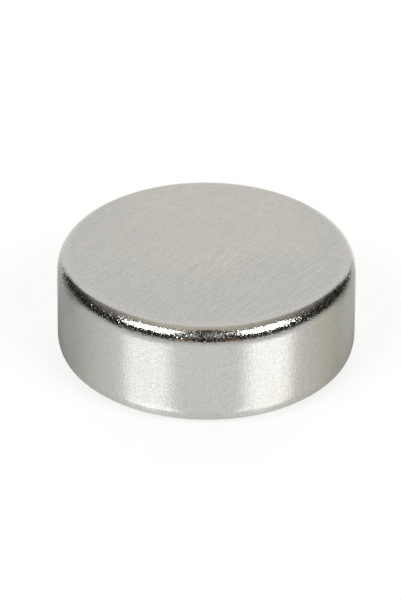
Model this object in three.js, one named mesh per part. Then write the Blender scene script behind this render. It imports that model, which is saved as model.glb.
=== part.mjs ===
// Disc magnet of sintered neodymium-iron-boron, magnetised along its axis and plated with nickel.
// The sintered blank is ground flat on its two pole faces and round on its wall. It is then
// tumbled in stones until both edges are rounded, and plated all over, so it is one closed solid.
//
// Millimetres, +Z along the axis of magnetisation. The origin is the centre of the lower pole
// face, which the magnet stands on.

import * as THREE from "three";

// Driving dimensions
const diameter = 8;
const thickness = 3;
const edgeReach = 0.58; // how far in from the wall the tumbled round starts on a pole face
const edgeDrop = 0.58; // how far the same round runs along the wall
const edgeFullness = 2.4; // 2 is a plain ellipse; more eases into the flats and turns tighter between

// Fineness of the facets
const facetsAround = 96;
const stepsPerEdge = 10;

const wallRadius = diameter / 2;
const faceRadius = wallRadius - edgeReach;

// One tumbled edge in section, from the wall (turn 0) to the pole face (turn 1). It is a quarter of
// a superellipse, whose bend starts from nothing at each end, as it does on a tumbled edge.
// side is +1 for the upper edge and -1 for the lower one.
function edgePoint(turn, side) {
  const angle = (turn * Math.PI) / 2;
  const outwards = Math.max(Math.cos(angle), 0) ** (2 / edgeFullness);
  const towardsFace = Math.sin(angle) ** (2 / edgeFullness);
  const middle = thickness / 2;
  const radius = faceRadius + edgeReach * outwards;
  const height = middle + side * (middle - edgeDrop + edgeDrop * towardsFace);
  return new THREE.Vector2(radius, height);
}

// Half of the magnet's section, from the axis at the lower face, round the wall, to the axis at
// the upper face.
function magnetSection() {
  const turns = Array.from({ length: stepsPerEdge + 1 }, (_, i) => i / stepsPerEdge);
  const upperEdge = turns.map((turn) => edgePoint(turn, +1));
  const lowerEdge = turns.map((turn) => edgePoint(turn, -1)).reverse();
  return [
    new THREE.Vector2(0, 0),
    ...lowerEdge,
    ...upperEdge,
    new THREE.Vector2(0, thickness),
  ];
}

// Bright nickel over a satin ground surface
function nickelPlate() {
  return new THREE.MeshStandardMaterial({
    name: "nickel_plate",
    color: 0xc9c6bf,
    metalness: 1,
    roughness: 0.32,
  });
}

function discMagnet() {
  const turned = new THREE.LatheGeometry(magnetSection(), facetsAround);
  turned.rotateX(Math.PI / 2); // the lathe's +Y axis becomes +Z
  const magnet = new THREE.Mesh(turned, nickelPlate());
  magnet.name = "disc_magnet";
  return magnet;
}

const part = new THREE.Group();
part.add(discMagnet());

export default part;
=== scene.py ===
import math

import bpy
import numpy as np
from mathutils import Matrix, Vector


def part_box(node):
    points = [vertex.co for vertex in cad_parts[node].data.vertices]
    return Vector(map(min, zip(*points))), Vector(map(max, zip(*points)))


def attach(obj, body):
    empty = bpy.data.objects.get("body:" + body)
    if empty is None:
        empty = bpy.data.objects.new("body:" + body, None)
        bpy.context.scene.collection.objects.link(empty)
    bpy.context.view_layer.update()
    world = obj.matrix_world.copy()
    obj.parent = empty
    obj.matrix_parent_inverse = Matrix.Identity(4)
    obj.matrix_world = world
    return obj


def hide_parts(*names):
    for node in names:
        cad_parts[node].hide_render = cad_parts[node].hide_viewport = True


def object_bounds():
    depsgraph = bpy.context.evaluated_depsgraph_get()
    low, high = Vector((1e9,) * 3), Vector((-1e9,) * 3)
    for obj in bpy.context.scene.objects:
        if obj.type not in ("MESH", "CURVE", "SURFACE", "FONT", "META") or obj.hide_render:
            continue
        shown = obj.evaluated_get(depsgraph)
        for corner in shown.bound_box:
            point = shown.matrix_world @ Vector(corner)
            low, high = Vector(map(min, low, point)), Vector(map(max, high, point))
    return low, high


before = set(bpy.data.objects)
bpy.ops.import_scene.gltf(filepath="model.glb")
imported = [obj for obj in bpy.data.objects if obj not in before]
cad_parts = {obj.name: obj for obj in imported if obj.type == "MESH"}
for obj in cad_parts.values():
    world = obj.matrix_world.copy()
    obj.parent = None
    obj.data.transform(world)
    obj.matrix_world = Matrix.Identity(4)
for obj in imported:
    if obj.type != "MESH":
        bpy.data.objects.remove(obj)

mm = 0.001  # the scene is in metres

cadLow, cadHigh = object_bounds()
discLow, discHigh = (np.array(corner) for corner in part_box("disc_magnet"))
discRadius = (discHigh[0] - discLow[0]) / 2
discThickness = discHigh[2] - discLow[2]
discMiddle = Vector((discLow + discHigh) / 2)
print(f"frame: a disc {2 * discRadius / mm:.1f} mm across and {discThickness / mm:.1f} mm thick")


# Shared helpers

def linearColour(hexText):
    # sRGB hex to the linear colour that the shaders work in
    values = [int(hexText[i:i + 2], 16) / 255 for i in (1, 3, 5)]
    linear = [v / 12.92 if v <= 0.04045 else ((v + 0.055) / 1.055) ** 2.4 for v in values]
    return (*linear, 1.0)


def addNode(tree, kind, inputs=None, stops=(), **settings):
    # One node with its settings. An input is a plain value or another node's output, and the stops are
    # the places and values of a colour ramp.
    node = tree.nodes.new(kind)
    for name, value in settings.items():
        setattr(node, name, value)
    for name, value in (inputs or {}).items():
        socket = node.inputs[name]
        if isinstance(value, bpy.types.NodeSocket):
            tree.links.new(value, socket)
        else:
            socket.default_value = value
    if stops:
        elements = node.color_ramp.elements
        while len(elements) < len(stops):
            elements.new(0.5)
        for element, (place, value) in zip(elements, stops):
            element.position = place
            element.color = (value, value, value, 1)
    return node


def newMaterial(name):
    # An empty node tree, ready for a shader
    material = bpy.data.materials.new(name)
    material.use_nodes = True
    material.node_tree.nodes.clear()
    return material, material.node_tree


def eased(share):
    # From 0 to 1 with a soft start and end: 3 s^2 - 2 s^3
    share = np.clip(share, 0, 1)
    return share ** 2 * (3 - 2 * share)


def direction(azimuth, elevation):
    # Unit vector seen from the magnet: azimuth 0 is towards the camera, and positive to its right. It is
    # (sin a cos e, -cos a cos e, sin e).
    a, e = np.radians(azimuth), np.radians(elevation)
    return np.stack(np.broadcast_arrays(np.sin(a) * np.cos(e), -np.cos(a) * np.cos(e), np.sin(e)), -1)


def gridMesh(points, closed=False):
    # Quads over a grid of points (rows, columns, 3); closed joins the last column to the first
    rows, columns = points.shape[:2]
    index = np.arange(rows * columns).reshape(rows, columns)
    if closed:
        index = np.concatenate([index, index[:, :1]], axis=1)
    quads = np.stack([index[:-1, :-1], index[:-1, 1:], index[1:, 1:], index[1:, :-1]], -1).reshape(-1, 4)
    return points.reshape(-1, 3), quads


def meshObject(name, points, quads, triangles=None):
    faces = quads.tolist() + ([] if triangles is None else triangles.tolist())
    mesh = bpy.data.meshes.new(name)
    mesh.from_pydata(points.tolist(), [], faces)
    mesh.polygons.foreach_set("use_smooth", np.ones(len(faces), dtype=bool))
    mesh.validate()
    piece = bpy.data.objects.new(name, mesh)
    bpy.context.scene.collection.objects.link(piece)
    return piece


# Camera: a long lens, looking down on the magnet from in front

cameraSettings = {
    "elevation": 31.7,  # degrees above the floor
    "roll": 0.37,  # degrees, anticlockwise
    "distance": 36 * discRadius,
    "right": -0.157 * mm,  # how far the camera stands off the line to the disc's middle
    "up": -0.038 * mm,
    "lens": 321.0,  # mm
    "sensor": 36,  # mm
    "clip": (10 * mm, 5),  # nearest and farthest that it sees
}


def placeCamera(settings):
    back = Vector(direction(0, settings["elevation"]))
    right = Vector((1, 0, 0))
    up = back.cross(right)
    turn = Matrix.Rotation(math.radians(settings["roll"]), 3, back)
    right, up = turn @ right, turn @ up
    place = discMiddle + back * settings["distance"] + right * settings["right"] + up * settings["up"]
    lens = bpy.data.cameras.new("camera")
    lens.lens = settings["lens"]
    lens.sensor_width = settings["sensor"]
    lens.clip_start, lens.clip_end = settings["clip"]
    camera = bpy.data.objects.new("camera", lens)
    camera.matrix_world = Matrix.Translation(place) @ Matrix((right, up, back)).transposed().to_4x4()
    bpy.context.scene.collection.objects.link(camera)
    bpy.context.scene.camera = camera


placeCamera(cameraSettings)
print("camera placed")


# Studio: a lit opal table in a dim room with a pale ceiling, a pale backdrop behind, a dark flag round
# the camera, and a soft box at each side of it. The room, ceiling, backdrop and flag are cards that glow
# with painted light, seen only in reflections. Distances are in metres and angles in degrees. A level
# is what a perfect white there renders as, and the colour beside it tints that.

clutter = {
    "elevation": (20, 65),
    "cell": 5,
    "power": 9,  # the higher it is, the fewer cells stand out of the dark
    "seed": 4,
    "roomLevel": 0.2,
    "flagLevel": 1.5,
}


def rampColours(stops, places):
    # Level times colour at each place, in straight lines between the stops
    where = [stop[0] for stop in stops]
    values = np.array([[stop[1] * part for part in linearColour(stop[2])[:3]] for stop in stops])
    return np.stack([np.interp(places, where, values[:, part]) for part in range(3)], -1)


def clutterShades(azimuths, elevations, level):
    # Pale things in the dark: each cell of a grid of directions has the level times a seeded random
    # number to a high power, so that most cells stay dark
    low, high = clutter["elevation"]
    columns = round(360 / clutter["cell"])
    rows = math.ceil((high - low) / clutter["cell"])
    cells = np.random.default_rng(clutter["seed"]).random((rows, columns)) ** clutter["power"] * level
    column = (azimuths // clutter["cell"]).astype(int) % columns
    row = np.clip((elevations - low) // clutter["cell"], 0, rows - 1).astype(int)
    inside = (elevations > low) & (elevations < high)
    return (cells[row, column] * inside)[..., None]


def paintedLightCard():
    # Painted light: a card that glows with the colour stored at each vertex, in place of a lit matt card
    material, tree = newMaterial("paintedLightCard")
    stored = addNode(tree, "ShaderNodeAttribute", attribute_name="glow")
    light = addNode(tree, "ShaderNodeEmission", {"Color": stored.outputs["Color"], "Strength": 1.0})
    addNode(tree, "ShaderNodeOutputMaterial", {"Surface": light.outputs["Emission"]})
    return material


def glowingPiece(name, points, colours, material):
    # A surface that is seen only in reflections, with a colour stored at each vertex
    piece = meshObject(name, *gridMesh(points))
    shades = np.ones((points.shape[0] * points.shape[1], 4))
    shades[:, :3] = np.broadcast_to(colours, points.shape).reshape(-1, 3)
    piece.data.attributes.new("glow", "FLOAT_COLOR", "POINT").data.foreach_set("color", shades.ravel())
    piece.data.materials.append(material)
    piece.visible_camera = False
    return piece


room = {
    "distance": 1.0,
    "elevation": (-6, 90),
    "levels": [
        (-6, 0.04, "#fffce2"), (14, 0.02, "#fffde4"), (26, 0.02, "#fbfdee"), (34, 0.06, "#fbfbf2"),
        (44, 0.17, "#fff8ee"), (55, 0.27, "#fff7ea"), (60, 0.40, "#fff7ea"), (68, 0.52, "#fff6e6"),
        (76, 0.62, "#fff6e6"), (90, 0.66, "#fff6e6"),
    ],  # elevation, level, colour
    "leftLighter": 0.08,  # share by which it is lighter on the left, and darker on the right
    "rows": 97,
    "columns": 289,
}


def buildRoom(settings, card):
    # A dome: the direction at every azimuth and elevation, times the distance. Its light varies round
    # it as 1 - share * sin(azimuth).
    azimuths = np.linspace(0, 360, settings["columns"])[None, :]
    elevations = np.linspace(*settings["elevation"], settings["rows"])[:, None]
    lighter = 1 - settings["leftLighter"] * np.sin(np.radians(azimuths))[..., None]
    shades = rampColours(settings["levels"], elevations) * lighter
    shades = shades + clutterShades(azimuths, elevations, clutter["roomLevel"])
    glowingPiece("room", direction(azimuths, elevations) * settings["distance"], shades, card)


backdrop = {
    "distance": 0.9,
    "elevation": (-4, 80),
    "levels": [
        (-4, 0.80, "#ffffff"), (20, 0.84, "#ffffff"), (34, 0.86, "#ffffff"), (44, 0.92, "#ffffff"),
        (80, 0.95, "#ffffff"),
    ],  # elevation, level, colour
    "sides": [
        (-4, 137, 226), (4, 132, 229), (14, 127, 231), (22, 126, 232), (34, 125, 237), (42, 125, 238),
        (80, 128, 236),
    ],  # elevation, azimuth of its right side, azimuth of its left side
    "fade": 9,  # angle over which its sides fade into the room
    "rows": 57,
    "columns": 81,
}


def buildBackdrop(settings, card):
    # Part of a dome: at each elevation the azimuth runs evenly from the right side to the left one
    elevations = np.linspace(*settings["elevation"], settings["rows"])[:, None]
    heights, rights, lefts = np.array(settings["sides"], float).T
    right, left = np.interp(elevations, heights, rights), np.interp(elevations, heights, lefts)
    azimuths = right + (left - right) * np.linspace(0, 1, settings["columns"])[None, :]
    inwards = eased(np.minimum(azimuths - right, left - azimuths) / settings["fade"])[..., None]
    paper = rampColours(settings["levels"], elevations)
    behind = rampColours(room["levels"], elevations)
    points = direction(azimuths, elevations) * settings["distance"]
    glowingPiece("backdrop", points, behind + (paper - behind) * inwards, card)


frontFlag = {
    "distance": 0.8,
    "azimuth": (-19, 21),
    "elevation": (-1, 73),
    "levels": [(-1, 0.01, "#ffffff"), (33, 0.01, "#ffffff"), (73, 0.04, "#ffffff")],
    "rows": 75,
    "columns": 41,
}

bench = {
    "level": 0.16,
    "colour": "#ffc690",  # wood, seen low on both sides of the flag
    "top": 20,
    "topFade": 6,
    "middle": 1,  # azimuth of the gap between its two sides
    "halfGap": 9,
    "sideFade": 3,
}


def buildFrontFlag(settings, card):
    # Part of a dome like the room. The bench mixes in below its top and outside its gap.
    azimuths = np.linspace(*settings["azimuth"], settings["columns"])[None, :]
    elevations = np.linspace(*settings["elevation"], settings["rows"])[:, None]
    shades = rampColours(settings["levels"], elevations) * np.ones((1, settings["columns"], 1))
    wood = bench["level"] * np.array(linearColour(bench["colour"])[:3])
    below = np.clip((bench["top"] - elevations) / bench["topFade"], 0, 1)
    beside = np.clip((np.abs(azimuths - bench["middle"]) - bench["halfGap"]) / bench["sideFade"], 0, 1)
    shades = shades + (wood - shades) * (below * beside)[..., None]
    shades = shades + clutterShades(azimuths, elevations, clutter["flagLevel"])
    glowingPiece("frontFlag", direction(azimuths, elevations) * settings["distance"], shades, card)


table = {
    "reach": 1.2,
    "gridLines": 181,
    "gridSqueeze": 7,  # the higher it is, the finer the grid is at the middle
    "drop": 0.004 * mm,  # below the magnet, so that no face lies in another
    "colour": "#868684",
    "roughness": 0.6,
    "glow": 0.75,
}

# Seen only in reflections, the table's glow is painted light and shade: levels that fall towards the back,
# painted shades against the disc, and painted pools of light
tableGlossAndPaintedLight = {
    "drop": 0.002 * mm,  # below the magnet too, and above the table
    "ior": 2.0,
    "roughness": 0.06,
    "leftLevels": [
        (-6.5, 0.97, "#ffffff"), (-5, 0.97, "#ffffff"), (-2.8, 0.87, "#fffefa"), (-0.8, 0.82, "#fdfffb"),
        (0, 0.69, "#fbfff8"), (0.9, 0.50, "#f9fff3"), (1.7, 0.45, "#f4fffb"), (2.5, 0.42, "#f8fffb"),
        (6, 0.42, "#fbfff4"), (28, 0.42, "#fbfbe8"),
    ],  # mm behind the disc's middle, level, colour
    "rightLevels": [
        (-6.5, 0.97, "#ffffff"), (-5, 0.97, "#ffffff"), (-2.8, 0.84, "#fffcf2"), (-0.8, 0.79, "#fffdee"),
        (0, 0.72, "#fffef4"), (0.9, 0.64, "#fefff4"), (1.9, 0.59, "#fefff4"), (2.8, 0.52, "#fefff6"),
        (6, 0.48, "#fffff0"), (28, 0.45, "#fffde8"),
    ],
    "backGlow": {
        "left": 0.46, "right": 0.60,  # level that is added
        "from": 0.3, "to": 2.6,  # mm behind the middle
        "slope": 1.5,  # how fast it draws back at the disc's two sides
    },
    "contactShade": {
        "left": 0.7, "right": 0.5,  # share that is lost against the disc
        "reach": 2.0,  # mm from the disc
        "from": 50, "to": 90,  # azimuth over which it comes in, on either side
    },
    "rimShade": {"share": 0.5, "reach": 0.4, "from": 30, "to": 80},  # a second one, closer in
    "underEdge": [
        (0.84, 0.60, "#fbfdff"), (0.92, 0.85, "#fbfdff"), (1.02, 0.97, "#fbfdff"), (1.15, 1.0, "#ffffff"),
    ],  # painted shade under the disc's edge: share of the disc's radius, share of the level, tint
    "wallSpill": {
        "left": 0.34, "right": 0.27,  # level of the light that the wall throws down in front
        "azimuth": 23, "width": 10,  # where its middle is on either side, and how far it spreads
        "radius": 1.045, "reach": 0.04,  # the same outwards, in radii of the disc
    },
}


def sheetPoints(height):
    # A level sheet whose grid is finest at the middle: x = reach * sinh(k s) / sinh(k), s from -1 to 1
    k = table["gridSqueeze"]
    side = table["reach"] * np.sinh(np.linspace(-k, k, table["gridLines"])) / np.sinh(k)
    return np.stack(np.broadcast_arrays(side[None, :], side[:, None], height), -1)


def buildTable(settings):
    # The camera sees matt opal acrylic with most of its light from below, so the shadows stay faint
    material, tree = newMaterial("opalAcrylic")
    opal = addNode(tree, "ShaderNodeBsdfPrincipled", {
        "Base Color": linearColour(settings["colour"]),
        "Roughness": settings["roughness"],
        "Emission Color": (1, 1, 1, 1),
        "Emission Strength": settings["glow"],
    })
    addNode(tree, "ShaderNodeOutputMaterial", {"Surface": opal.outputs["BSDF"]})
    top = meshObject("table", *gridMesh(sheetPoints(cadLow.z - settings["drop"])))
    top.data.materials.append(material)


def paintedLightOnGloss(points, settings):
    # Painted light and shade of the table, as the metal sees it: level times colour at each place on the
    # gloss. It runs from the left levels to the right ones across the disc, darker towards the back. Behind
    # the disc it is lighter, where y - slope * (|x| - disc radius) is above the glow's start. A painted
    # shade near the disc fades as exp(-gap / reach), and a painted spot of light as exp(-(distance /
    # width)^2).
    x, y = points[..., 0], points[..., 1]
    behind = y / mm
    right = np.clip(x / (2 * discRadius) + 0.5, 0, 1)
    colours = rampColours(settings["leftLevels"], behind) * (1 - right[..., None])
    colours = colours + rampColours(settings["rightLevels"], behind) * right[..., None]

    glow = settings["backGlow"]
    inside = behind - glow["slope"] * (np.abs(x) - discRadius) / mm
    inside = eased((inside - glow["from"]) / (glow["to"] - glow["from"]))
    inside = inside * (glow["left"] + (glow["right"] - glow["left"]) * right)
    colours = colours + (inside * (behind > 0))[..., None]

    radius = np.hypot(x, y) / discRadius
    gap = np.clip(radius - 1, 0, None) * discRadius / mm
    azimuth = np.degrees(np.arctan2(x, -y))
    around = np.abs(azimuth)
    contact = settings["contactShade"]
    depth = contact["left"] + (contact["right"] - contact["left"]) * right
    depth = depth * eased((around - contact["from"]) / (contact["to"] - contact["from"]))
    kept = 1 - depth * np.exp(-gap / contact["reach"])
    rim = settings["rimShade"]
    depth = rim["share"] * eased((around - rim["from"]) / (rim["to"] - rim["from"]))
    kept *= 1 - depth * np.exp(-gap / rim["reach"])

    spill = settings["wallSpill"]
    spilt = np.where(azimuth < 0, spill["left"], spill["right"])
    spilt = spilt * np.exp(-((around - spill["azimuth"]) / spill["width"]) ** 2)
    spilt = spilt * np.exp(-((radius - spill["radius"]) / spill["reach"]) ** 2)
    return colours * rampColours(settings["underEdge"], radius) * kept[..., None] + spilt[..., None]


def buildTableGlossAndPaintedLight(settings):
    # The metal sees the polish of the acrylic too: a mirror-like gloss by Fresnel over the stored glow,
    # which is painted light and shade
    material, tree = newMaterial("polishedAcrylicOverPaintedLight")
    stored = addNode(tree, "ShaderNodeAttribute", attribute_name="glow")
    light = addNode(tree, "ShaderNodeEmission", {"Color": stored.outputs["Color"], "Strength": 1.0})
    gloss = addNode(tree, "ShaderNodeBsdfAnisotropic", {
        "Color": (1, 1, 1, 1), "Roughness": settings["roughness"]})
    fresnel = addNode(tree, "ShaderNodeFresnel", {"IOR": settings["ior"]})
    both = addNode(tree, "ShaderNodeMixShader", {
        0: fresnel.outputs["Fac"], 1: light.outputs["Emission"], 2: gloss.outputs["BSDF"]})
    addNode(tree, "ShaderNodeOutputMaterial", {"Surface": both.outputs["Shader"]})
    points = sheetPoints(cadLow.z - settings["drop"])
    sheet = glowingPiece("glossAndPaintedLightSheet", points, paintedLightOnGloss(points, settings), material)
    sheet.visible_diffuse = False
    sheet.visible_shadow = False


softBoxes = {
    "distance": 0.4,
    "leftBox": {"azimuth": -46.5, "elevation": 41, "width": 0.55, "height": 0.42, "level": 5.9},
    "rightBox": {"azimuth": 50, "elevation": 38, "width": 0.57, "height": 0.45, "level": 5.5},
}


def softBox(name, distance):
    # A light that faces the magnet. Its sides are shares of its distance, and its power is
    # level * pi * area, so that its face shows at that level.
    settings = softBoxes[name]
    back = Vector(direction(settings["azimuth"], settings["elevation"]))
    lamp = bpy.data.lights.new(name, "AREA")
    lamp.shape = "RECTANGLE"
    lamp.size = settings["width"] * distance
    lamp.size_y = settings["height"] * distance
    lamp.energy = settings["level"] * math.pi * lamp.size * lamp.size_y
    box = bpy.data.objects.new(name, lamp)
    box.location = back * distance
    box.rotation_mode = "QUATERNION"
    box.rotation_quaternion = back.to_track_quat("Z", "Y")
    box.visible_camera = False
    bpy.context.scene.collection.objects.link(box)


def whiteWorld():
    world = bpy.data.worlds.new("world")
    world.use_nodes = True
    world.node_tree.nodes["Background"].inputs["Color"].default_value = (1, 1, 1, 1)
    bpy.context.scene.world = world
    bpy.context.scene.view_settings.view_transform = "Standard"


paintedRoomLight = paintedLightCard()
buildRoom(room, paintedRoomLight)
buildBackdrop(backdrop, paintedRoomLight)
buildFrontFlag(frontFlag, paintedRoomLight)
print("room, backdrop and flag painted")

buildTable(table)
buildTableGlossAndPaintedLight(tableGlossAndPaintedLight)
print("table laid")

softBox("leftBox", softBoxes["distance"])
softBox("rightBox", softBoxes["distance"])
whiteWorld()
print("soft boxes lit")


# The magnet: the half section turned round the axis, with the relief that tumbling leaves on its edges

disc = {
    "edgeFullness": 2.4,  # 2 is a plain ellipse; more eases into the flats and turns tighter between
    "closeTo": 0.001 * mm,  # a corner of the solid this near a face or the wall lies on it
    "columns": 720,
    "rowsOnEdge": 48,
    "rowsOnWall": 28,
    "rowsOnFace": 3,
    "reliefLengths": (0.2, 0.5),  # mm, from the shortest wave to the longest
    "reliefSlope": 0.25,  # degrees, rms, at the middle of an edge
    "reliefWaves": 48,
    "reliefSeed": 11,
}


def solidEdge(settings):
    # How far the solid's round runs in over a pole face, and how far along the wall
    mesh = bpy.data.objects["disc_magnet"].data
    places = np.empty(3 * len(mesh.vertices), dtype=np.float32)
    mesh.vertices.foreach_get("co", places)
    x, y, z = places.reshape(-1, 3).astype(float).T
    radius = np.hypot(x - discMiddle.x, y - discMiddle.y)
    faceRadius = radius[z > discHigh[2] - settings["closeTo"]].max()
    wallTop = z[radius > discRadius - settings["closeTo"]].max()
    return discRadius - faceRadius, discHigh[2] - wallTop


def discSection(settings, reach, drop):
    # The half section from the middle of the lower face to the middle of the upper one. On an edge
    # the step is even in the angle t that the normal has turned from the axis: the superellipse
    # (x/reach)^n + (y/drop)^n = 1 has x : y = sin(t)^(1/(n-1)) : cos(t)^(1/(n-1)).
    n = settings["edgeFullness"]
    turn = np.linspace(0, np.pi / 2, settings["rowsOnEdge"] + 1)
    x = np.sin(turn) ** (1 / (n - 1))
    y = np.abs(np.cos(turn)) ** (1 / (n - 1))
    size = (x ** n + y ** n) ** (1 / n)
    edgeRadius = discRadius - reach + reach * x / size
    edgeHeight = discThickness - drop + drop * y / size
    faceRadius = np.linspace(0, discRadius - reach, settings["rowsOnFace"] + 1)[:-1]
    wallHeight = np.linspace(discThickness - drop, drop, settings["rowsOnWall"] + 1)[1:-1]
    radius = np.concatenate([
        faceRadius, edgeRadius, np.full_like(wallHeight, discRadius), edgeRadius[::-1], faceRadius[::-1]])
    height = np.concatenate([
        np.full_like(faceRadius, discThickness), edgeHeight, wallHeight,
        discThickness - edgeHeight[::-1], np.zeros_like(faceRadius)])
    turned = np.concatenate([
        np.zeros_like(faceRadius), turn, np.full_like(wallHeight, np.pi / 2),
        np.pi - turn[::-1], np.full_like(faceRadius, np.pi)])
    return radius[::-1], height[::-1], turned[::-1]


def tumbledRelief(points, settings):
    # A height at each point: the sum of many plane waves that cross the solid in seeded directions,
    # sin(2 pi p.d / length + phase), each as high as gives it the same slope
    rng = np.random.default_rng(settings["reliefSeed"])
    count = settings["reliefWaves"]
    directions = rng.normal(size=(count, 3))
    directions /= np.linalg.norm(directions, axis=1, keepdims=True)
    lengths = rng.uniform(*settings["reliefLengths"], count) * mm
    phases = rng.uniform(0, 2 * np.pi, count)
    slope = math.radians(settings["reliefSlope"]) * math.sqrt(2 / count)
    waves = np.sin(points @ directions.T * (2 * np.pi / lengths) + phases)
    return waves @ (slope * lengths / (2 * np.pi))


def buildDisc(settings, reach, drop):
    # Each point of the section goes round the axis: radius * (cos a, sin a, 0) + height * Z. The relief
    # moves it along the normal, in proportion to sin(2 t)^2. A point at each pole closes the faces.
    radius, height, turned = discSection(settings, reach, drop)
    radius, height, turned = radius[1:-1], height[1:-1], turned[1:-1]
    columns = settings["columns"]
    angle = np.linspace(0, 2 * np.pi, columns, endpoint=False)
    ring = np.stack([np.cos(angle), np.sin(angle), np.zeros_like(angle)], -1)
    axis = np.array([0, 0, 1.0])
    points = radius[:, None, None] * ring + height[:, None, None] * axis
    points += np.array([discMiddle.x, discMiddle.y, discLow[2]])
    outwards = np.sin(turned)[:, None, None] * ring + np.cos(turned)[:, None, None] * axis
    onEdge = np.sin(2 * turned) ** 2
    points += (tumbledRelief(points, settings) * onEdge[:, None])[..., None] * outwards

    vertices, quads = gridMesh(points, closed=True)
    count = len(vertices)
    first = np.arange(columns)
    following = np.roll(first, -1)
    lowPole = np.stack([following, first, np.full(columns, count)], -1)
    toTop = count - columns
    highPole = np.stack([first + toTop, following + toTop, np.full(columns, count + 1)], -1)
    poles = np.array([[discMiddle.x, discMiddle.y, z] for z in (discLow[2], discHigh[2])])
    piece = meshObject(
        "plated_disc", np.concatenate([vertices, poles]), quads, np.concatenate([lowPole, highPole]))

    # How far the normal has turned at each point: 0 on both faces, 1 on the wall
    edgeTurn = 1 - np.abs(turned - np.pi / 2) / (np.pi / 2)
    values = np.concatenate([np.repeat(edgeTurn, columns), [0, 0]])
    piece.data.attributes.new("edgeTurn", "FLOAT", "POINT").data.foreach_set("value", values)
    return piece


edgeReach, edgeDrop = solidEdge(disc)
platedDisc = buildDisc(disc, edgeReach, edgeDrop)
print(f"disc turned, its edges {edgeReach / mm:.2f} mm in and {edgeDrop / mm:.2f} mm down")


noiseUsual = (0.3, 0.7)  # nearly all of a noise texture lies between these


# Nickel, electroplated over a sintered blank that was ground and then tumbled in stones. To the eye it
# is a faintly warm grey metal: satin with fine straight lines where a wheel ground the pole faces,
# bright and sparkling on the edges that the stones wore round, and an even satin on the wall. Nickel
# starts from #d4cdc0, metallic 1 and roughness 0.1 to 0.3. A turn is edgeTurn, 0 on a face and 1 on
# the wall.

plating = {
    "wallColour": "#cecdc9",
    "faceColour": "#c3c2be",
    "faceScatter": 0.28,  # share of the light that a ground face scatters all round
    "faceEnds": (0.1, 0.35),  # turns between which its colour and scatter end
    "roughness": [(0.0, 0.28), (0.25, 0.22), (0.4, 0.08), (0.85, 0.08), (1.0, 0.23)],  # turn, roughness
    "roughnessSpread": [
        (0.0, 0.0), (0.25, 0.06), (0.4, 0.04), (0.85, 0.04), (1.0, 0.1),
    ],  # turn, difference between the dull hollows of the grain and its bright tops

    # Bloom: a faint warm patch with a ragged rim, as handling and storage leave
    "bloomColour": "#cbc7be",
    "bloomMiddle": (0.1, 1.5),  # mm from the axis, X and Y
    "bloomRadius": 2.75,  # mm
    "bloomRagged": 1.5,  # mm that its rim wanders either way
    "bloomSoft": 1.2,  # mm that its rim fades either way
    "wanderPerMm": (0.5, 1.1, 0.5),  # along the grinding lines, across them, and through
    "mottlePerMm": 1.8,
    "mottleShares": (0.5, 1.3),  # of the bloom, from thin to full

    # Grain of the plate, over sintered grains of 0.005 to 0.01 mm. Those are too fine to show, so it is
    # drawn at 0.055 mm, and its tone at 0.075 mm.
    "grainPerMm": 18,
    "grainDepth": 0.0135 * mm,
    "grainShares": [(0.0, 0.12), (0.4, 0.2), (0.9, 0.28), (1.0, 0.25)],  # turn, share of the depth
    "tonePerMm": 13.5,
    "toneDepth": 0.062,

    # Lines that a wheel of about 180 grit left on the faces, 0.08 mm apart and 0.5 mm long
    "linesPerMm": 12,
    "lineLength": 0.5,  # mm
    "lineAngle": 52,  # degrees from +X
    "lineThrough": 0.5,  # how fast they change with depth, per mm
    "lineShift": 0.45,  # of their spacing, to the copy that gives each line a bright and a dark side
    "lineDepth": 0.0012 * mm,
    # each line is lighter on its raised side and darker in its groove in the colour: painted light and shade
    # over real lines
    "lineLightAndShade": 0.07,
    "lineUsual": 0.2,  # nearly all of their heights lie within this of 0
    "lineEnds": (0.02, 0.25),  # turns between which they end
    "lineFade": {"from": -0.6, "to": 1.6, "share": 0.3},  # mm of Y over which they fade to that share

    # Pits where a sintered grain was torn out, 0.05 mm across, each darkened in the colour as painted shade
    # of its hollow
    "pitsPerMm": 2.6,
    "pitRadius": 0.028,  # mm
    "pitCore": 0.3,  # share of the radius that is dark all over
    "pitShade": 0.3,
    "pitKept": (0.5, 0.75),  # cells whose random number is below the first have no pit

    # Facets that the stones left on the edges, 0.024 mm across
    "facetsPerMm": 42,
    "facetTilt": 0.175,  # slope of a full lean, over its length
    "fullLean": 0.6,
    "facetPower": 3,  # the higher it is, the fewer lean a lot
    "facetShares": [
        (0.0, 0.0), (0.3, 0.0), (0.42, 0.4), (0.55, 1.0), (0.75, 1.0), (0.88, 0.4), (0.95, 0.05), (1.0, 0.0),
    ],  # turn, share of the tilt
    "dullShare": 0.14,  # of the facets
    "dullRoughness": 0.28,
}


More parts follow.
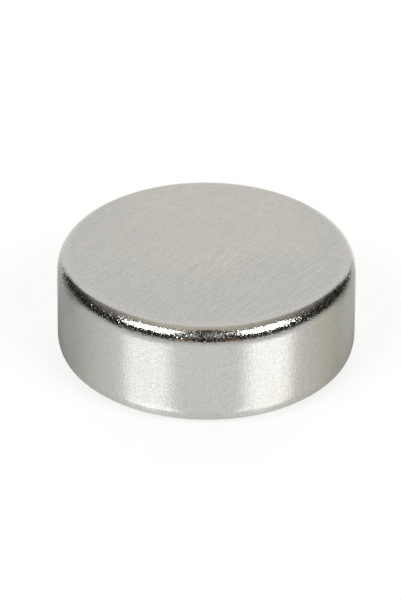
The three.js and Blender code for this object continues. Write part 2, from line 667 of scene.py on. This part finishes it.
def grindingLines(tree, inMm, ground, settings):
    # Height of the lines: a noise stretched along them, less a copy shifted across them
    along = addNode(tree, "ShaderNodeMapping", {
        "Vector": inMm.outputs["Vector"], "Rotation": (0, 0, -math.radians(settings["lineAngle"]))})
    stretched = addNode(tree, "ShaderNodeVectorMath", {
        0: along.outputs["Vector"],
        1: (1 / settings["lineLength"], settings["linesPerMm"], settings["lineThrough"])},
        operation="MULTIPLY")
    lines = addNode(tree, "ShaderNodeTexNoise", {
        "Vector": stretched.outputs["Vector"], "Scale": 1.0, "Detail": 2.0})
    shifted = addNode(tree, "ShaderNodeVectorMath", {
        0: stretched.outputs["Vector"], 1: (0, settings["lineShift"], 0)}, operation="ADD")
    copy = addNode(tree, "ShaderNodeTexNoise", {
        "Vector": shifted.outputs["Vector"], "Scale": 1.0, "Detail": 2.0})
    step = addNode(tree, "ShaderNodeMath", {
        0: lines.outputs["Fac"], 1: copy.outputs["Fac"]}, operation="SUBTRACT")
    parts = addNode(tree, "ShaderNodeSeparateXYZ", {"Vector": inMm.outputs["Vector"]})
    fade = settings["lineFade"]
    share = addNode(tree, "ShaderNodeMapRange", {
        "Value": parts.outputs["Y"], "From Min": fade["from"], "From Max": fade["to"],
        "To Min": 1.0, "To Max": fade["share"]}, interpolation_type="SMOOTHSTEP")
    shareOnFace = addNode(tree, "ShaderNodeMath", {
        0: share.outputs["Result"], 1: ground.outputs["Result"]}, operation="MULTIPLY")
    height = addNode(tree, "ShaderNodeMath", {
        0: step.outputs["Value"], 1: shareOnFace.outputs["Value"]}, operation="MULTIPLY")
    return along, height


def tornPits(tree, inMm, settings):
    # 1 in a pit and 0 elsewhere: the middles of a cellular pattern, in the cells that keep theirs
    cells = addNode(tree, "ShaderNodeTexVoronoi", {
        "Vector": inMm.outputs["Vector"], "Scale": settings["pitsPerMm"]})
    radius = settings["pitRadius"] * settings["pitsPerMm"]
    dot = addNode(tree, "ShaderNodeMapRange", {
        "Value": cells.outputs["Distance"], "From Min": settings["pitCore"] * radius, "From Max": radius,
        "To Min": 1.0, "To Max": 0.0}, interpolation_type="SMOOTHSTEP")
    kept = addNode(tree, "ShaderNodeMapRange", {
        "Value": cells.outputs["Color"], "From Min": settings["pitKept"][0],
        "From Max": settings["pitKept"][1]})
    return addNode(tree, "ShaderNodeMath", {
        0: dot.outputs["Result"], 1: kept.outputs["Result"]}, operation="MULTIPLY")


def bloomedColour(tree, inMm, along, settings):
    # The bloom's rim is where distance + 4 * ragged * noise passes radius + 2 * ragged: a noise stays
    # within 0.25 of 0.5, so the rim wanders by about the ragged size either way
    flat = addNode(tree, "ShaderNodeVectorMath", {
        0: inMm.outputs["Vector"], 1: (1, 1, 0)}, operation="MULTIPLY")
    away = addNode(tree, "ShaderNodeVectorMath", {
        0: flat.outputs["Vector"], 1: (*settings["bloomMiddle"], 0)}, operation="DISTANCE")
    slow = addNode(tree, "ShaderNodeVectorMath", {
        0: along.outputs["Vector"], 1: settings["wanderPerMm"]}, operation="MULTIPLY")
    wander = addNode(tree, "ShaderNodeTexNoise", {
        "Vector": slow.outputs["Vector"], "Scale": 1.0, "Detail": 4.0})
    wandering = addNode(tree, "ShaderNodeMath", {
        0: wander.outputs["Fac"], 1: 4 * settings["bloomRagged"], 2: away.outputs["Value"]},
        operation="MULTIPLY_ADD")
    rim = settings["bloomRadius"] + 2 * settings["bloomRagged"]
    bloom = addNode(tree, "ShaderNodeMapRange", {
        "Value": wandering.outputs["Value"], "From Min": rim - settings["bloomSoft"],
        "From Max": rim + settings["bloomSoft"], "To Min": 1.0, "To Max": 0.0},
        interpolation_type="SMOOTHSTEP")
    mottle = addNode(tree, "ShaderNodeTexNoise", {
        "Vector": inMm.outputs["Vector"], "Scale": settings["mottlePerMm"], "Detail": 3.0})
    mottled = addNode(tree, "ShaderNodeMapRange", {
        "Value": mottle.outputs["Fac"], "From Min": noiseUsual[0], "From Max": noiseUsual[1],
        "To Min": settings["mottleShares"][0], "To Max": settings["mottleShares"][1]})
    share = addNode(tree, "ShaderNodeMath", {
        0: bloom.outputs["Result"], 1: mottled.outputs["Result"]}, operation="MULTIPLY")
    return addNode(tree, "ShaderNodeMix", {
        "Factor": share.outputs["Value"], 6: linearColour(settings["faceColour"]),
        7: linearColour(settings["bloomColour"])}, data_type="RGBA", clamp_factor=False)


def surfaceToneAndPaintedShade(tree, inMm, lineHeight, pit, settings):
    # 1 on average, a little more or less at random with the grain, lighter and darker across each line as
    # painted light and shade, and low in a pit as painted shade
    fine = addNode(tree, "ShaderNodeTexNoise", {
        "Vector": inMm.outputs["Vector"], "Scale": settings["tonePerMm"], "Detail": 1.0, "Roughness": 0.6})
    grainTone = addNode(tree, "ShaderNodeMapRange", {
        "Value": fine.outputs["Fac"], "From Min": noiseUsual[0], "From Max": noiseUsual[1],
        "To Min": 1 - settings["toneDepth"], "To Max": 1 + settings["toneDepth"]}, clamp=False)
    lineLightAndShade = addNode(tree, "ShaderNodeMapRange", {
        "Value": lineHeight.outputs["Value"], "From Min": -settings["lineUsual"],
        "From Max": settings["lineUsual"], "To Min": 1 - settings["lineLightAndShade"],
        "To Max": 1 + settings["lineLightAndShade"]}, clamp=False)
    pitShade = addNode(tree, "ShaderNodeMath", {
        0: pit.outputs["Value"], 1: -settings["pitShade"], 2: 1.0}, operation="MULTIPLY_ADD")
    grainToneAndLineShade = addNode(tree, "ShaderNodeMath", {
        0: grainTone.outputs["Result"], 1: lineLightAndShade.outputs["Result"]}, operation="MULTIPLY")
    return addNode(tree, "ShaderNodeMath", {
        0: grainToneAndLineShade.outputs["Value"], 1: pitShade.outputs["Value"]}, operation="MULTIPLY")


def tumbledFacets(tree, inMm, turn, smooth, roughness, settings):
    # Each facet leans its own way: normal + lean * tilt * (|lean| / full lean)^power with
    # lean = random colour - 0.5, so most lean little and a few a lot. Some of them stay dull.
    cells = addNode(tree, "ShaderNodeTexVoronoi", {
        "Vector": inMm.outputs["Vector"], "Scale": settings["facetsPerMm"]})
    lean = addNode(tree, "ShaderNodeVectorMath", {
        0: cells.outputs["Color"], 1: (-0.5, -0.5, -0.5)}, operation="ADD")
    length = addNode(tree, "ShaderNodeVectorMath", {0: lean.outputs["Vector"]}, operation="LENGTH")
    share = addNode(tree, "ShaderNodeMath", {
        0: length.outputs["Value"], 1: 1 / settings["fullLean"]}, operation="MULTIPLY")
    steepness = addNode(tree, "ShaderNodeMath", {
        0: share.outputs["Value"], 1: settings["facetPower"]}, operation="POWER")
    onEdge = addNode(tree, "ShaderNodeValToRGB", {"Fac": turn.outputs["Fac"]}, settings["facetShares"])
    tilt = addNode(tree, "ShaderNodeMath", {
        0: onEdge.outputs["Color"], 1: settings["facetTilt"]}, operation="MULTIPLY")
    slope = addNode(tree, "ShaderNodeMath", {
        0: tilt.outputs["Value"], 1: steepness.outputs["Value"]}, operation="MULTIPLY")
    leaning = addNode(tree, "ShaderNodeVectorMath", {
        0: lean.outputs["Vector"], "Scale": slope.outputs["Value"]}, operation="SCALE")
    leant = addNode(tree, "ShaderNodeVectorMath", {
        0: smooth.outputs["Normal"], 1: leaning.outputs["Vector"]}, operation="ADD")
    normal = addNode(tree, "ShaderNodeVectorMath", {0: leant.outputs["Vector"]}, operation="NORMALIZE")

    number = addNode(tree, "ShaderNodeSeparateColor", {"Color": cells.outputs["Color"]})
    isDull = addNode(tree, "ShaderNodeMath", {
        0: number.outputs["Green"], 1: settings["dullShare"]}, operation="LESS_THAN")
    dull = addNode(tree, "ShaderNodeMath", {
        0: isDull.outputs["Value"], 1: settings["dullRoughness"]}, operation="MULTIPLY")
    rougher = addNode(tree, "ShaderNodeMath", {
        0: roughness.outputs["Value"], 1: dull.outputs["Value"]}, operation="MAXIMUM")
    return normal, rougher


def nickelPlate(settings):
    material, tree = newMaterial("groundAndTumbledNickelPlate")
    place = addNode(tree, "ShaderNodeTexCoord")
    inMm = addNode(tree, "ShaderNodeVectorMath", {
        0: place.outputs["Object"], 1: (1 / mm,) * 3}, operation="MULTIPLY")
    turn = addNode(tree, "ShaderNodeAttribute", attribute_name="edgeTurn")
    ground = addNode(tree, "ShaderNodeMapRange", {
        "Value": turn.outputs["Fac"], "From Min": settings["lineEnds"][0],
        "From Max": settings["lineEnds"][1], "To Min": 1.0, "To Max": 0.0}, interpolation_type="SMOOTHSTEP")
    onFace = addNode(tree, "ShaderNodeMapRange", {
        "Value": turn.outputs["Fac"], "From Min": settings["faceEnds"][0],
        "From Max": settings["faceEnds"][1], "To Min": 1.0, "To Max": 0.0}, interpolation_type="SMOOTHSTEP")
    along, lineHeight = grindingLines(tree, inMm, ground, settings)

    # Colour, with painted light and shade in the lines and pits
    faceColour = bloomedColour(tree, inMm, along, settings)
    colour = addNode(tree, "ShaderNodeMix", {
        "Factor": onFace.outputs["Result"], 6: linearColour(settings["wallColour"]),
        7: faceColour.outputs[2]}, data_type="RGBA")
    tone = surfaceToneAndPaintedShade(tree, inMm, lineHeight, tornPits(tree, inMm, settings), settings)
    tonedAndShaded = addNode(tree, "ShaderNodeVectorMath", {
        0: colour.outputs[2], "Scale": tone.outputs["Value"]}, operation="SCALE")
    metallic = addNode(tree, "ShaderNodeMath", {
        0: onFace.outputs["Result"], 1: -settings["faceScatter"], 2: 1.0}, operation="MULTIPLY_ADD")

    # Relief of the lines, and over it the grain
    grain = addNode(tree, "ShaderNodeTexNoise", {
        "Vector": inMm.outputs["Vector"], "Scale": settings["grainPerMm"], "Detail": 1.0, "Roughness": 0.5})
    centred = addNode(tree, "ShaderNodeMath", {0: grain.outputs["Fac"], 1: 0.5}, operation="SUBTRACT")
    grainShare = addNode(tree, "ShaderNodeValToRGB", {"Fac": turn.outputs["Fac"]}, settings["grainShares"])
    grainHeight = addNode(tree, "ShaderNodeMath", {
        0: centred.outputs["Value"], 1: grainShare.outputs["Color"]}, operation="MULTIPLY")
    lineBump = addNode(tree, "ShaderNodeBump", {
        "Strength": 1.0, "Distance": settings["lineDepth"], "Height": lineHeight.outputs["Value"]})
    grainBump = addNode(tree, "ShaderNodeBump", {
        "Strength": 1.0, "Distance": settings["grainDepth"], "Height": grainHeight.outputs["Value"],
        "Normal": lineBump.outputs["Normal"]})

    # The stones brighten the tops of the grain and leave its hollows dull
    hollow = addNode(tree, "ShaderNodeMapRange", {
        "Value": grain.outputs["Fac"], "From Min": noiseUsual[0], "From Max": noiseUsual[1],
        "To Min": 0.5, "To Max": -0.5})
    spread = addNode(tree, "ShaderNodeValToRGB", {"Fac": turn.outputs["Fac"]}, settings["roughnessSpread"])
    mean = addNode(tree, "ShaderNodeValToRGB", {"Fac": turn.outputs["Fac"]}, settings["roughness"])
    roughness = addNode(tree, "ShaderNodeMath", {
        0: hollow.outputs["Result"], 1: spread.outputs["Color"], 2: mean.outputs["Color"]},
        operation="MULTIPLY_ADD")
    normal, facetRoughness = tumbledFacets(tree, inMm, turn, grainBump, roughness, settings)

    metal = addNode(tree, "ShaderNodeBsdfPrincipled", {
        "Base Color": tonedAndShaded.outputs["Vector"],
        "Metallic": metallic.outputs["Value"],
        "Roughness": facetRoughness.outputs["Value"],
        "Normal": normal.outputs["Vector"],
    })
    addNode(tree, "ShaderNodeOutputMaterial", {"Surface": metal.outputs["BSDF"]})
    return material


platedDisc.data.materials.append(nickelPlate(plating))
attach(platedDisc, "root")
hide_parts("disc_magnet")
print("disc plated")
